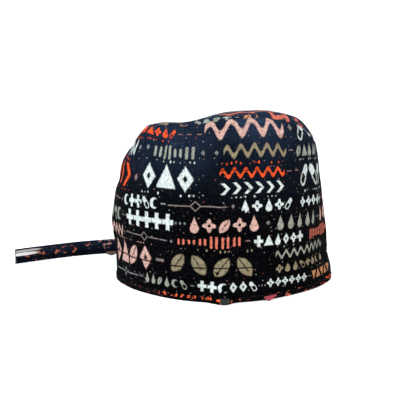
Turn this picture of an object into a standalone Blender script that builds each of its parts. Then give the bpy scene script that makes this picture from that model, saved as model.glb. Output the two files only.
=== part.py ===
# Surgical scrub cap of printed cotton, standing rim down.
# Metres, +Z up. The front faces -Y, the wearer's left is +X, the cap stands on Z = 0,
# and the middle of its own box, without the ties, is over the origin.

import math

import bmesh
import bpy
from mathutils import Vector

# Driving sizes of the cap
HEM_HALF_WIDTH = 0.0886  # half the cap's width across the hem
HEM_HALF_DEPTH = 0.1030  # half its depth, front to nape
SEAM_HEIGHT = 0.1310  # crown seam above the hem's edge, at the front
CROWN_RISE = 0.0038  # crown's highest place above the front of the seam
CROWN_MIDDLE_RIGHT = 0.016  # crown's highest place, right of the middle
CROWN_MIDDLE_FRONT = 0.035  # and in front of it
CLOTH_WALL = 0.0016
CLEARANCE = 0.0003  # between pieces that are sewn together

# Hem binding
HEM_HEIGHT = 0.0050
HEM_WALL = 0.0026
HEM_PROUD = 0.0004  # how far the binding stands out from the band
HEM_CORNER = 0.0005  # its small turned edges
BAND_LOWEST = HEM_HEIGHT + CLEARANCE

# Gathers where the crown is drawn in at the nape
GATHER_STEP_DEG = 15.0
GATHER_DEPTH = 0.0018
GATHER_HALF_SPREAD_DEG = 62.0
GATHER_REACH = 0.42  # share of the way to the crown's middle where they have died out
FOLDS_START = 0.05  # share of that way over which the crown's folds grow from the seam

# Ties
TIE_WIDTH = 0.0130
TIE_WALL = 0.0020
TIE_FOLD = 0.0003  # hollow along the fold in the middle of a tie's faces
TIE_SEWN_FROM_DEG = 172.0  # the stretch of the band that each tie is sewn along
TIE_SEWN_TO_DEG = 160.0
TIE_ABOVE_HEM = 0.0006  # lower edge above the binding, where the tie is sewn
TIE_SEWN_STEPS = 3
TIE_RING_STEP = 0.0070

# Label tab
LABEL_TURN_DEG = 25.0
LABEL_WIDTH = 0.0120
LABEL_DROP = 0.0046
LABEL_SHORT_SIDE = 0.0014  # height left at its narrow end, where it is folded away
LABEL_TIP = 0.25  # share of its width from the wide end to its lowest corner
LABEL_WALL = 0.0009
LABEL_ABOVE_FLOOR = 0.0004

# Mesh steps
COLUMNS = 72
LABEL_COLUMNS = 4
SHARP_ANGLE_DEG = 50.0

# Turns round the cap, from the front towards +X, that the tables' columns stand for
COMPASS = {"front": 0, "front_right": 45, "right": 90, "back": 180, "left": 270, "front_left": 315}


def table(names, *rows):
    """Rows of numbers as dictionaries with named columns."""
    return [dict(zip(names.split(), row, strict=True)) for row in rows]


# Band: how far the wall stands from the middle, as shares of the hem's half sizes.
# rise is the share of the way from the binding to the crown seam.
BAND_SECTIONS = table(
    "rise  front  front_right  right  back   left   front_left",
    (0.00, 0.955, 0.915, 0.997, 0.985, 0.975, 0.920),
    (0.06, 0.958, 0.918, 0.985, 0.988, 0.978, 0.923),
    (0.14, 0.958, 0.922, 0.955, 0.990, 0.974, 0.925),
    (0.22, 0.956, 0.925, 0.944, 0.990, 0.975, 0.930),
    (0.32, 0.953, 0.928, 0.939, 0.988, 0.992, 0.938),
    (0.42, 0.950, 0.928, 0.925, 0.985, 1.000, 0.942),
    (0.54, 0.945, 0.925, 0.912, 0.980, 0.982, 0.938),
    (0.64, 0.938, 0.918, 0.897, 0.975, 0.968, 0.930),
    (0.72, 0.932, 0.912, 0.879, 0.970, 0.935, 0.918),
    (0.80, 0.920, 0.903, 0.870, 0.962, 0.923, 0.905),
    (0.88, 0.905, 0.890, 0.861, 0.950, 0.896, 0.888),
    (0.95, 0.880, 0.868, 0.851, 0.935, 0.848, 0.865),
    (1.00, 0.840, 0.835, 0.842, 0.915, 0.790, 0.830),
)

# Crown seam: its height at each turn, as a share of its height at the front
SEAM_LINE = table(
    "turn  height",
    (0, 1.000),
    (30, 1.010),
    (50, 0.984),
    (65, 0.932),
    (78, 0.882),
    (90, 0.832),
    (120, 0.700),
    (150, 0.550),
    (180, 0.473),
    (210, 0.550),
    (240, 0.680),
    (270, 0.815),
    (288, 0.870),
    (303, 0.937),
    (318, 0.984),
    (332, 0.986),
)

# Crown: how much of the climb from the seam to the highest place is done.
# inward is the share of the way from the seam to the crown's middle.
CROWN_SECTIONS = table(
    "inward  front  front_right  right  back  left  front_left",
    (0.00, 0.00, 0.00, 0.00, 0.00, 0.00, 0.00),
    (0.03, 0.20, 0.30, 0.12, 0.14, 0.16, 0.03),
    (0.08, 0.35, 0.62, 0.26, 0.30, 0.38, 0.05),
    (0.15, 0.50, 0.90, 0.46, 0.46, 0.50, 0.10),
    (0.25, 0.62, 1.02, 0.68, 0.62, 0.62, 0.15),
    (0.40, 0.78, 1.08, 0.90, 0.78, 0.66, 0.28),
    (0.55, 0.90, 1.08, 0.98, 0.88, 0.72, 0.50),
    (0.70, 0.97, 1.05, 1.00, 0.94, 0.84, 0.74),
    (0.85, 1.00, 1.02, 1.00, 0.98, 0.95, 0.92),
    (1.00, 1.00, 1.00, 1.00, 1.00, 1.00, 1.00),
)

# Folds and dents of the band. turn and half_turn are degrees, rise and half_rise shares
# of the band's height there, lean is how far a fold's turn moves over its whole rise, and
# depth is a share of the hem's half width, outward if above 0.
BAND_FOLDS = table(
    "turn  half_turn  rise  half_rise  lean  depth",
    (0, 9, 0.00, 0.20, 0, 0.062),  # pressed corner at the middle of the hem
    (322, 14, 0.97, 0.22, 10, -0.026),  # dent beside the seam's left corner
    (306, 13, 0.88, 0.16, -8, 0.018),  # puff below it
    (288, 12, 0.94, 0.14, 6, -0.020),  # pinched shoulder
    (340, 15, 0.45, 0.55, 16, 0.012),  # long soft folds of the front
    (12, 14, 0.52, 0.45, -10, -0.014),
    (38, 13, 0.60, 0.42, 12, 0.013),
    (66, 12, 0.30, 0.34, -12, -0.016),
    (84, 12, 0.10, 0.20, 0, 0.016),  # flare of the right side
    (296, 11, 0.22, 0.32, 8, -0.015),
    (278, 10, 0.30, 0.40, -6, 0.010),
    (128, 16, 0.45, 0.50, 10, 0.018),  # sides towards the nape
    (108, 13, 0.50, 0.45, 0, -0.016),
    (232, 16, 0.45, 0.50, -10, 0.018),
    (252, 13, 0.50, 0.45, 0, -0.016),
)

# Dents and puffs of the crown, with the same columns and inward in place of rise
CROWN_FOLDS = table(
    "turn  half_turn  inward  half_inward  lean  depth",
    (330, 22, 0.30, 0.26, 0, -0.016),  # hollow behind the seam's left front
    (24, 20, 0.22, 0.22, 0, 0.010),  # puff behind the seam's right front
    (300, 18, 0.42, 0.26, 10, -0.014),
    (100, 18, 0.30, 0.26, 0, 0.014),
    (130, 16, 0.42, 0.30, 0, -0.018),
    (232, 16, 0.40, 0.30, 0, -0.018),
    (255, 18, 0.26, 0.22, 0, 0.014),
    (182, 20, 0.62, 0.30, 0, -0.012),
)

# Free stretches of the ties: the middle line, and the lower edge's height, in metres
TIE_LEFT_ROUTE = (
    (-0.0550, 0.0925, 0.0050),
    (-0.0800, 0.0840, 0.0045),
    (-0.1040, 0.0785, 0.0038),
    (-0.1270, 0.0765, 0.0022),
    (-0.1520, 0.0670, 0.0008),
    (-0.1680, 0.0555, 0.0005),
    (-0.1796, 0.0450, 0.0005),
)
TIE_RIGHT_ROUTE = (
    (0.0520, 0.0950, 0.0046),
    (0.0700, 0.0980, 0.0034),
    (0.0835, 0.1080, 0.0020),
    (0.0870, 0.1230, 0.0010),
    (0.0800, 0.1370, 0.0005),
    (0.0640, 0.1450, 0.0005),
    (0.0450, 0.1470, 0.0005),
    (0.0250, 0.1450, 0.0005),
    (0.0090, 0.1410, 0.0005),
)

# Colour, roughness and metallic value of each sub-part
FINISHES = {
    "crown": ((0.012, 0.017, 0.036), 0.85, 0.0),
    "band": ((0.010, 0.014, 0.030), 0.85, 0.0),
    "hem": ((0.005, 0.006, 0.012), 0.88, 0.0),
    "tie_left": ((0.007, 0.009, 0.020), 0.85, 0.0),
    "tie_right": ((0.007, 0.009, 0.020), 0.85, 0.0),
    "label_tab": ((0.300, 0.060, 0.085), 0.70, 0.0),
}


def curve_through(places, values, at):
    """Height at one place of a smooth curve through a short list of places and values."""
    last = len(places) - 1
    if at <= places[0]:
        return values[0]
    if at >= places[last]:
        return values[last]
    k = next(i for i in range(last) if at <= places[i + 1])
    before, after = max(k - 1, 0), min(k + 2, last)
    step = places[k + 1] - places[k]
    slope_in = (values[k + 1] - values[before]) / (places[k + 1] - places[before])
    slope_out = (values[after] - values[k]) / (places[after] - places[k])
    t = (at - places[k]) / step
    return (
        values[k] * (2 * t**3 - 3 * t**2 + 1)
        + slope_in * step * (t**3 - 2 * t**2 + t)
        + values[k + 1] * (3 * t**2 - 2 * t**3)
        + slope_out * step * (t**3 - t**2)
    )


def round_curve(turns, values, turn):
    """The same on a closed round of turns in degrees."""
    turn = turn % 360
    places = [t - 360 for t in turns[-2:]] + list(turns) + [t + 360 for t in turns[:2]]
    heights = list(values[-2:]) + list(values) + list(values[:2])
    return curve_through(places, heights, turn)


def table_share(rows, along, at, turn):
    """A table's value at one place along it and one turn round the cap."""
    places = [row[along] for row in rows]
    values = [curve_through(places, [row[side] for row in rows], at) for side in COMPASS]
    return round_curve(list(COMPASS.values()), values, turn)


def hump(distance, half_width):
    """1 at the middle, falling smoothly to 0 at half_width and beyond."""
    share = min(abs(distance) / half_width, 1.0)
    return (1 - share * share) ** 2


def turn_between(turn, middle):
    return (turn - middle + 180) % 360 - 180


def fold_depth(rows, along, at, turn):
    """How far the folds of a table push the cloth outward at one place."""
    total = 0.0
    for row in rows:
        past = at - row[along]
        beside = turn_between(turn, row["turn"] + row["lean"] * past)
        total += row["depth"] * hump(beside, row["half_turn"]) * hump(past, row["half_" + along])
    return total * HEM_HALF_WIDTH


def seam_height(turn):
    turns = [row["turn"] for row in SEAM_LINE]
    return SEAM_HEIGHT * round_curve(turns, [row["height"] for row in SEAM_LINE], turn)


def outward_at(turn):
    """Level direction away from the cap's middle, square to its oval."""
    angle = math.radians(turn)
    across, back = math.sin(angle) / HEM_HALF_WIDTH, -math.cos(angle) / HEM_HALF_DEPTH
    return Vector((across, back, 0)).normalized()


def band_point(turn, rise):
    """Outer face of the band, before the cap is centred."""
    angle = math.radians(turn)
    share = table_share(BAND_SECTIONS, "rise", rise, turn)
    point = Vector((math.sin(angle) * HEM_HALF_WIDTH, -math.cos(angle) * HEM_HALF_DEPTH, 0)) * share
    point += outward_at(turn) * fold_depth(BAND_FOLDS, "rise", rise, turn)
    point.z = BAND_LOWEST + (seam_height(turn) - BAND_LOWEST) * rise
    return point


def gather_depth(turn, inward):
    """In and out of the gathers at the nape."""
    from_nape = turn_between(turn, 180)
    fading = hump(from_nape, GATHER_HALF_SPREAD_DEG) * hump(inward, GATHER_REACH)
    return GATHER_DEPTH * fading * math.cos(math.radians(from_nape * 360 / GATHER_STEP_DEG))


def crown_point(turn, inward):
    """Outer face of the crown, before the cap is centred."""
    seam = band_point(turn, 1.0)
    middle = Vector((CROWN_MIDDLE_RIGHT, -CROWN_MIDDLE_FRONT, SEAM_HEIGHT + CROWN_RISE))
    climbed = table_share(CROWN_SECTIONS, "inward", inward, turn)
    point = seam.lerp(middle, inward)
    point.z = seam.z + (middle.z - seam.z) * climbed
    puff = fold_depth(CROWN_FOLDS, "inward", inward, turn) + gather_depth(turn, inward)
    lift = outward_at(turn) * (1 - inward) + Vector((0, 0, (1 + inward) / 2))
    return point + lift * puff * min(inward / FOLDS_START, 1.0)


def column_turns():
    return [360.0 * k / COLUMNS for k in range(COLUMNS)]


def cap_middle():
    """Level place of the middle of the cap's box, which is put over the origin."""
    rises = [row["rise"] for row in BAND_SECTIONS]
    points = [band_point(turn, rise) for turn in column_turns() for rise in rises]
    binding = [band_point(turn, 0.0) + outward_at(turn) * HEM_PROUD for turn in column_turns()]
    every = points + binding
    middle_x = (min(p.x for p in every) + max(p.x for p in every)) / 2
    middle_y = (min(p.y for p in every) + max(p.y for p in every)) / 2
    return Vector((middle_x, middle_y, 0))


MIDDLE = cap_middle()


def sheet_normals(grid):
    """Outward direction at each point of a grid of rows, each row a closed round."""
    normals = []
    for k, row in enumerate(grid):
        above, below = grid[min(k + 1, len(grid) - 1)], grid[max(k - 1, 0)]
        around = [row[(i + 1) % COLUMNS] - row[i - 1] for i in range(COLUMNS)]
        normals.append([around[i].cross(above[i] - below[i]).normalized() for i in range(COLUMNS)])
    return normals


def seam_frame():
    """Outward and upward directions along the crown seam, shared by band and crown."""
    rises = [row["rise"] for row in BAND_SECTIONS]
    steps = [row["inward"] for row in CROWN_SECTIONS]
    outs, ups = [], []
    for turn in column_turns():
        seam = band_point(turn, 1.0)
        below, above = seam - band_point(turn, rises[-2]), crown_point(turn, steps[1]) - seam
        up = below.normalized() + above.normalized()
        along = band_point(turn + 1, 1.0) - band_point(turn - 1, 1.0)
        out = along.cross(up).normalized()
        outs.append(out)
        ups.append(out.cross(along).normalized())
    return outs, ups


def skin(mesh, rows):
    """Joins neighbouring rounds of vertices with quads that face outward."""
    for low, high in zip(rows, rows[1:]):
        for i in range(len(low)):
            j = (i + 1) % len(low)
            mesh.faces.new((low[i], low[j], high[j], high[i]))


def add_round(mesh, points):
    return [mesh.verts.new(point - MIDDLE) for point in points]


def make_object(name, mesh):
    """A smooth-shaded object with its own material."""
    mesh.normal_update()
    data = bpy.data.meshes.new(name)
    mesh.to_mesh(data)
    mesh.free()
    data.shade_smooth()
    data.set_sharp_from_angle(angle=math.radians(SHARP_ANGLE_DEG))
    colour, roughness, metallic = FINISHES[name]
    material = bpy.data.materials.new(name)
    material.use_nodes = True
    shader = material.node_tree.nodes["Principled BSDF"]
    shader.inputs["Base Color"].default_value = (*colour, 1.0)
    shader.inputs["Roughness"].default_value = roughness
    shader.inputs["Metallic"].default_value = metallic
    data.materials.append(material)
    made = bpy.data.objects.new(name, data)
    bpy.context.scene.collection.objects.link(made)
    return made


def make_band():
    outer = [[band_point(turn, row["rise"]) for turn in column_turns()] for row in BAND_SECTIONS]
    normals = sheet_normals(outer)
    normals[0] = [outward_at(turn) for turn in column_turns()]
    normals[-1] = seam_frame()[0]
    inner = [[p - n * CLOTH_WALL for p, n in zip(*pair)] for pair in zip(outer, normals)]
    mesh = bmesh.new()
    outside = [add_round(mesh, row) for row in outer]
    inside = [add_round(mesh, row) for row in inner]
    for point in inside[0]:
        point.co.z = BAND_LOWEST
    skin(mesh, outside + inside[::-1] + outside[:1])
    return make_object("band", mesh)


def make_crown():
    outs, ups = seam_frame()
    steps = [row["inward"] for row in CROWN_SECTIONS][:-1]
    outer = [[crown_point(turn, step) for turn in column_turns()] for step in steps]
    normals = sheet_normals(outer)
    normals[0] = outs
    outer[0] = [p + up * CLEARANCE for p, up in zip(outer[0], ups)]
    inner = [[p - n * CLOTH_WALL for p, n in zip(*pair)] for pair in zip(outer, normals)]
    mesh = bmesh.new()
    outside = [add_round(mesh, row) for row in outer]
    inside = [add_round(mesh, row) for row in inner]
    skin(mesh, inside[::-1] + outside)
    top = crown_point(0.0, 1.0)
    top_out, top_in = add_round(mesh, (top, top - Vector((0, 0, CLOTH_WALL))))
    for i in range(COLUMNS):
        j = (i + 1) % COLUMNS
        mesh.faces.new((outside[-1][i], outside[-1][j], top_out))
        mesh.faces.new((inside[-1][j], inside[-1][i], top_in))
    return make_object("crown", mesh)


def make_hem():
    """A closed ring under the band: flat below, with turned lower and upper edges."""
    section = (
        (HEM_PROUD - HEM_CORNER, 0.0),
        (HEM_PROUD, HEM_CORNER),
        (HEM_PROUD, HEM_HEIGHT - HEM_CORNER),
        (HEM_PROUD - HEM_CORNER, HEM_HEIGHT),
        (HEM_PROUD - HEM_WALL, HEM_HEIGHT),
        (HEM_PROUD - HEM_WALL, 0.0),
    )
    rounds = []
    for out, height in section:
        points = [band_point(turn, 0.0) + outward_at(turn) * out for turn in column_turns()]
        for point in points:
            point.z = height
        rounds.append(points)
    mesh = bmesh.new()
    made = [add_round(mesh, points) for points in rounds]
    skin(mesh, made + made[:1])
    return make_object("hem", mesh)


def sewn_stretch(side):
    """Middle line of a tie where it is sewn along the band, from its end to where it leaves."""
    lower = HEM_HEIGHT + TIE_ABOVE_HEM
    points = []
    for step in range(TIE_SEWN_STEPS + 1):
        share = step / TIE_SEWN_STEPS
        turn = side * (TIE_SEWN_FROM_DEG + (TIE_SEWN_TO_DEG - TIE_SEWN_FROM_DEG) * share)
        out = outward_at(turn)
        covered = (lower + TIE_WIDTH - BAND_LOWEST) / (seam_height(turn) - BAND_LOWEST)
        rises = [covered * k / TIE_SEWN_STEPS for k in range(TIE_SEWN_STEPS + 1)]
        furthest = max((band_point(turn, rise) for rise in rises), key=lambda place: place.dot(out))
        point = furthest - MIDDLE + out * (CLEARANCE + TIE_WALL / 2)
        points.append(Vector((point.x, point.y, lower)))
    return points


def smooth_route(points):
    """Evenly stepped points on a smooth curve through a route's own points."""
    places = [0.0]
    for a, b in zip(points, points[1:]):
        places.append(places[-1] + (b - a).length)
    count = max(2, round(places[-1] / TIE_RING_STEP))
    stations = [places[-1] * k / count for k in range(count + 1)]
    axes = [[p[k] for p in points] for k in range(3)]
    return [Vector([curve_through(places, axis, at) for axis in axes]) for at in stations]


def make_tie(name, side, route):
    """A folded strap that stands on its lower edge, lofted through rings along its route."""
    line = smooth_route(sewn_stretch(side) + [Vector(p) for p in route])
    half, fold, edge = TIE_WALL / 2, TIE_FOLD, TIE_WALL / 2
    section = (
        (half / 2, 0.0),
        (half, edge),
        (half - fold, TIE_WIDTH / 2),
        (half, TIE_WIDTH - edge),
        (half / 2, TIE_WIDTH),
        (-half / 2, TIE_WIDTH),
        (-half, TIE_WIDTH - edge),
        (fold - half, TIE_WIDTH / 2),
        (-half, edge),
        (-half / 2, 0.0),
    )
    mesh = bmesh.new()
    rings = []
    for k, point in enumerate(line):
        ahead = line[min(k + 1, len(line) - 1)] - line[max(k - 1, 0)]
        across = Vector((ahead.y, -ahead.x, 0)).normalized()
        rings.append([mesh.verts.new(point + across * out + Vector((0, 0, up))) for out, up in section])
    skin(mesh, rings)
    mesh.faces.new(rings[0][::-1])
    mesh.faces.new(rings[-1])
    bmesh.ops.recalc_face_normals(mesh, faces=mesh.faces)
    return make_object(name, mesh)


def make_label():
    """A small folded tab on the hem's face, narrowing to one side where it is folded away."""
    half_turn = math.degrees(LABEL_WIDTH / (HEM_HALF_DEPTH + HEM_HALF_WIDTH))
    near = HEM_PROUD + CLEARANCE
    far = near + LABEL_WALL
    top = LABEL_ABOVE_FLOOR + LABEL_DROP
    mesh = bmesh.new()
    rings = []
    for column in range(LABEL_COLUMNS + 1):
        share = column / LABEL_COLUMNS
        turn = LABEL_TURN_DEG + half_turn * (2 * share - 1)
        base = band_point(turn, 0.0) - MIDDLE
        out = outward_at(turn)
        narrowing = max(share - LABEL_TIP, 0) / (1 - LABEL_TIP)
        low = LABEL_ABOVE_FLOOR + narrowing * (LABEL_DROP - LABEL_SHORT_SIDE)
        corners = ((near, low), (far, low), (far, top), (near, top))
        rings.append([mesh.verts.new(Vector((*(base + out * reach).xy, up))) for reach, up in corners])
    skin(mesh, rings)
    mesh.faces.new(rings[0][::-1])
    mesh.faces.new(rings[-1])
    bmesh.ops.recalc_face_normals(mesh, faces=mesh.faces)
    return make_object("label_tab", mesh)


def clear_scene():
    for old in list(bpy.data.objects):
        bpy.data.objects.remove(old, do_unlink=True)


def main():
    clear_scene()
    cap = bpy.data.objects.new("scrub_cap", None)
    bpy.context.scene.collection.objects.link(cap)
    pieces = (
        make_band(),
        make_crown(),
        make_hem(),
        make_tie("tie_left", -1, TIE_LEFT_ROUTE),
        make_tie("tie_right", 1, TIE_RIGHT_ROUTE),
        make_label(),
    )
    for piece in pieces:
        piece.parent = cap


main()
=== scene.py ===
import math

import bmesh
import bpy
import numpy as np
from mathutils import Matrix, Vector, noise


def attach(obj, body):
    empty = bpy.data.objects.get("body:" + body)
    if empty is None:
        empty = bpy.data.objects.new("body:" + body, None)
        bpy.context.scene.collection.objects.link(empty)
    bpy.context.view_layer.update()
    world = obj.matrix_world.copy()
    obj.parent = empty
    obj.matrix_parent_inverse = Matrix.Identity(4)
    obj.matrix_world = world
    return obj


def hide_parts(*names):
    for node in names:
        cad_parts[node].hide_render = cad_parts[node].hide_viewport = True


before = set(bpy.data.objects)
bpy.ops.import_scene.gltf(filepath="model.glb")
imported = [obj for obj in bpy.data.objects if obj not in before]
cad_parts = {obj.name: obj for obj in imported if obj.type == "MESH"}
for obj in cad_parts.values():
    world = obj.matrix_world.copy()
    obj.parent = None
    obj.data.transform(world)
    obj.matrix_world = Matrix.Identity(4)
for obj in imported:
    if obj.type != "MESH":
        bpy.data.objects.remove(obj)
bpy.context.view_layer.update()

print("frame loaded:", ", ".join(sorted(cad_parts)))

# The frame's sizes and tables, in metres, degrees and shares
cap = {
    "hemHalfWidth": 0.0886,
    "hemHalfDepth": 0.1030,
    "seamHeight": 0.1310,
    "crownRise": 0.0038,  # the crown's highest place: above the seam, right of the middle, in front of it
    "crownMiddleRight": 0.016,
    "crownMiddleFront": 0.035,
    "hemHeight": 0.0050,
    "hemProud": 0.0004,
    "gap": 0.0003,
    "columnsInFrame": 72,
    "gatherStep": 15.0,
    "gatherDepth": 0.0018,
    "gatherHalfSpread": 62.0,
    "gatherReach": 0.42,
    "foldsStart": 0.05,
}

compass = {"front": 0, "frontRight": 45, "right": 90, "back": 180, "left": 270, "frontLeft": 315}


def table(names, *rows):
    columns = np.array(rows, float).T
    return dict(zip(names.split(), columns, strict=True))


bandSections = table(
    "rise  front  frontRight  right  back   left   frontLeft",
    (0.00, 0.955, 0.915, 0.997, 0.985, 0.975, 0.920),
    (0.06, 0.958, 0.918, 0.985, 0.988, 0.978, 0.923),
    (0.14, 0.958, 0.922, 0.955, 0.990, 0.974, 0.925),
    (0.22, 0.956, 0.925, 0.944, 0.990, 0.975, 0.930),
    (0.32, 0.953, 0.928, 0.939, 0.988, 0.992, 0.938),
    (0.42, 0.950, 0.928, 0.925, 0.985, 1.000, 0.942),
    (0.54, 0.945, 0.925, 0.912, 0.980, 0.982, 0.938),
    (0.64, 0.938, 0.918, 0.897, 0.975, 0.968, 0.930),
    (0.72, 0.932, 0.912, 0.879, 0.970, 0.935, 0.918),
    (0.80, 0.920, 0.903, 0.870, 0.962, 0.923, 0.905),
    (0.88, 0.905, 0.890, 0.861, 0.950, 0.896, 0.888),
    (0.95, 0.880, 0.868, 0.851, 0.935, 0.848, 0.865),
    (1.00, 0.840, 0.835, 0.842, 0.915, 0.790, 0.830),
)
seamLine = table(
    "turn  height",
    (0, 1.000), (30, 1.010), (50, 0.984), (65, 0.932), (78, 0.882), (90, 0.832),
    (120, 0.700), (150, 0.550), (180, 0.473), (210, 0.550), (240, 0.680),
    (270, 0.815), (288, 0.870), (303, 0.937), (318, 0.984), (332, 0.986),
)
crownSections = table(
    "inward  front  frontRight  right  back  left  frontLeft",
    (0.00, 0.00, 0.00, 0.00, 0.00, 0.00, 0.00),
    (0.03, 0.20, 0.30, 0.12, 0.14, 0.16, 0.03),
    (0.08, 0.35, 0.62, 0.26, 0.30, 0.38, 0.05),
    (0.15, 0.50, 0.90, 0.46, 0.46, 0.50, 0.10),
    (0.25, 0.62, 1.02, 0.68, 0.62, 0.62, 0.15),
    (0.40, 0.78, 1.08, 0.90, 0.78, 0.66, 0.28),
    (0.55, 0.90, 1.08, 0.98, 0.88, 0.72, 0.50),
    (0.70, 0.97, 1.05, 1.00, 0.94, 0.84, 0.74),
    (0.85, 1.00, 1.02, 1.00, 0.98, 0.95, 0.92),
    (1.00, 1.00, 1.00, 1.00, 1.00, 1.00, 1.00),
)
foldColumns = "turn  halfTurn  place  halfPlace  lean  depth"
bandFolds = table(
    foldColumns,
    (0, 9, 0.00, 0.20, 0, 0.062),  # pressed corner at the middle of the hem
    (322, 14, 0.97, 0.22, 10, -0.026),  # dent beside the seam's left corner
    (306, 13, 0.88, 0.16, -8, 0.018),  # puff below it
    (288, 12, 0.94, 0.14, 6, -0.020),  # pinched shoulder
    (340, 15, 0.45, 0.55, 16, 0.012),  # long soft folds of the front
    (12, 14, 0.52, 0.45, -10, -0.014),
    (38, 13, 0.60, 0.42, 12, 0.013),
    (66, 12, 0.30, 0.34, -12, -0.016),
    (84, 12, 0.10, 0.20, 0, 0.016),  # flare of the right side
    (296, 11, 0.22, 0.32, 8, -0.015),
    (278, 10, 0.30, 0.40, -6, 0.010),
    (128, 16, 0.45, 0.50, 10, 0.018),  # sides towards the nape
    (108, 13, 0.50, 0.45, 0, -0.016),
    (232, 16, 0.45, 0.50, -10, 0.018),
    (252, 13, 0.50, 0.45, 0, -0.016),
)
crownFolds = table(
    foldColumns,
    (330, 22, 0.30, 0.26, 0, -0.016),  # hollow behind the seam's left front
    (24, 20, 0.22, 0.22, 0, 0.010),  # puff behind the seam's right front
    (300, 18, 0.42, 0.26, 10, -0.014),
    (100, 18, 0.30, 0.26, 0, 0.014),
    (130, 16, 0.42, 0.30, 0, -0.018),
    (232, 16, 0.40, 0.30, 0, -0.018),
    (255, 18, 0.26, 0.22, 0, 0.014),
    (182, 20, 0.62, 0.30, 0, -0.012),
)

# What only the cloth has: smaller folds, a sharper corner at the front of the hem,
# and how far the top edge stands above or below the frame's along the cap's width
fineFolds = table(
    foldColumns,
    (327, 5.0, 0.90, 0.16, 22, -0.0125),
    (316, 4.5, 0.84, 0.14, 18, 0.0095),
    (300, 5.0, 0.80, 0.20, -16, -0.0090),
    (290, 4.0, 0.60, 0.26, 10, 0.0060),
    (281, 4.0, 0.28, 0.26, 6, -0.0080),
    (272, 4.0, 0.20, 0.24, -4, 0.0070),
    (346, 5.0, 0.86, 0.20, 14, -0.0070),
    (355, 6.0, 0.30, 0.34, -18, 0.0050),
    (5, 6.0, 0.66, 0.30, 16, -0.0050),
    (20, 6.0, 0.34, 0.30, 14, 0.0055),
    (31, 5.0, 0.82, 0.22, -16, -0.0070),
    (47, 5.0, 0.40, 0.36, 12, -0.0065),
    (57, 4.5, 0.74, 0.26, 8, -0.0085),
    (63, 4.5, 0.68, 0.26, 8, 0.0060),
    (72, 4.5, 0.50, 0.34, -6, -0.0080),
    (79, 4.0, 0.22, 0.22, -8, -0.0080),
    (88, 4.0, 0.34, 0.30, 6, 0.0070),
    (84, 9.0, 0.32, 0.26, 0, 0.0180),
    (116, 6.0, 0.30, 0.30, 10, -0.0080),
    (144, 6.0, 0.30, 0.34, -8, -0.0080),
    (205, 6.0, 0.34, 0.34, 8, -0.0080),
    (222, 5.0, 0.44, 0.30, -8, 0.0070),
    (246, 5.0, 0.30, 0.30, 8, 0.0070),
)
hemCorner = {"turn": 1.0, "halfTurn": 4.0, "out": 0.0026, "reach": 0.011, "right": 0.0015}
topLift = table(
    "across  lift",
    (-0.100, 0.0000), (-0.074, -0.0004), (-0.064, 0.0000), (-0.057, 0.0012), (-0.050, 0.0000),
    (-0.034, -0.0009), (-0.018, 0.0000), (0.002, 0.0016), (0.030, 0.0017), (0.043, 0.0000),
    (0.058, -0.0016), (0.074, -0.0018), (0.100, 0.0000),
)

cloth = {
    "wall": 0.0010,
    "columns": 320,
    "bandRows": (13, 6, 32, 6, 18, 11),  # between the hem, both sides of each pressed line, and the seam
    "rowsBySeam": 0.955,  # rise where the last set of rows starts
    "bandFlat": (0.600, 0.132),  # cut size, and the area of its shape, which is low at the nape
    "bandArea": 0.058,
    "crownRows": 74,
    "crownFirst": (0.0, 0.003, 0.006, 0.010, 0.014, 0.019, 0.025, 0.032),  # rows beside the seam
    "crownRest": (0.040, 0.985),
    "crownFlat": (0.175, 0.205),
    "crownArea": 0.0280,
    "seamDip": 0.0015,  # how far the sewn seam sinks
    "seamDipWidth": 0.0020,
    "pucker": 0.00034,  # small ripples along a seam, and how their waves wander
    "puckerWander": ((1.2, 61.0), (0.8, 143.0)),
    "puckerPitch": 0.0068,
    "puckerReach": 0.0060,
    "creaseHeight": 0.0255,  # pressed line round the band, above the hem's edge
    "creaseDepth": 0.00085,
    "creaseHalfWidth": 0.0009,
    "creaseFloor": 0.6,  # share of the half width where its floor ends, and its ridge's height and place
    "ridge": 0.5,
    "ridgePlace": 1.6,
    "upperCreaseRise": 0.722,  # short pressed line over the front
    "upperCreaseFrom": 342.0,
    "upperCreaseTo": 33.0,
    "rippleSize": 0.024,
    "rippleDepth": 0.00120,
    "rippleStretch": 1.9,
    "crumpleSize": 0.0085,
    "crumpleDepth": 0.00022,
    "crumpleStretch": 1.4,
    "stillBySeam": 0.004,  # ripples grow over this way from a seam
    "stillByHem": 0.0008,
    "leftAtHem": 0.2,  # their share at its very edge
    "stillAtMiddle": 1.15,
    "bandSeed": 2.0,
    "crownSeed": 5.0,
    "napeFold": 0.0024,  # the crown's small gathers at the nape, and their step in degrees
    "napeFoldStep": 6.2,
    "napeUneven": (2.0, 5),
    "napeHalfSpread": 75.0,
    "napeFoldPlace": 0.008,  # above the seam
    "napeFoldReach": 0.019,
    "napeFoldFrom": 0.003,
    "liftFrom": 0.088,  # the lift starts at this height and is whole at the next
    "liftWhole": 0.120,
}


def curveThrough(places, values, at):
    # value of a smooth curve through a few places, read at many; values may hold columns
    values = np.asarray(values, float)
    at = np.clip(np.asarray(at, float), places[0], places[-1])
    last = len(places) - 1
    k = np.clip(np.searchsorted(places, at, side="left") - 1, 0, last - 1)
    before, after = np.maximum(k - 1, 0), np.minimum(k + 2, last)
    wide = (slice(None),) + (None,) * (values.ndim - 1)
    step = (places[k + 1] - places[k])[wide]
    slopeIn = (values[k + 1] - values[before]) / (places[k + 1] - places[before])[wide]
    slopeOut = (values[after] - values[k]) / (places[after] - places[k])[wide]
    t = ((at - places[k]) / (places[k + 1] - places[k]))[wide]
    return (
        values[k] * (2 * t**3 - 3 * t**2 + 1)
        + slopeIn * step * (t**3 - 2 * t**2 + t)
        + values[k + 1] * (3 * t**2 - 2 * t**3)
        + slopeOut * step * (t**3 - t**2)
    )


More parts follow.
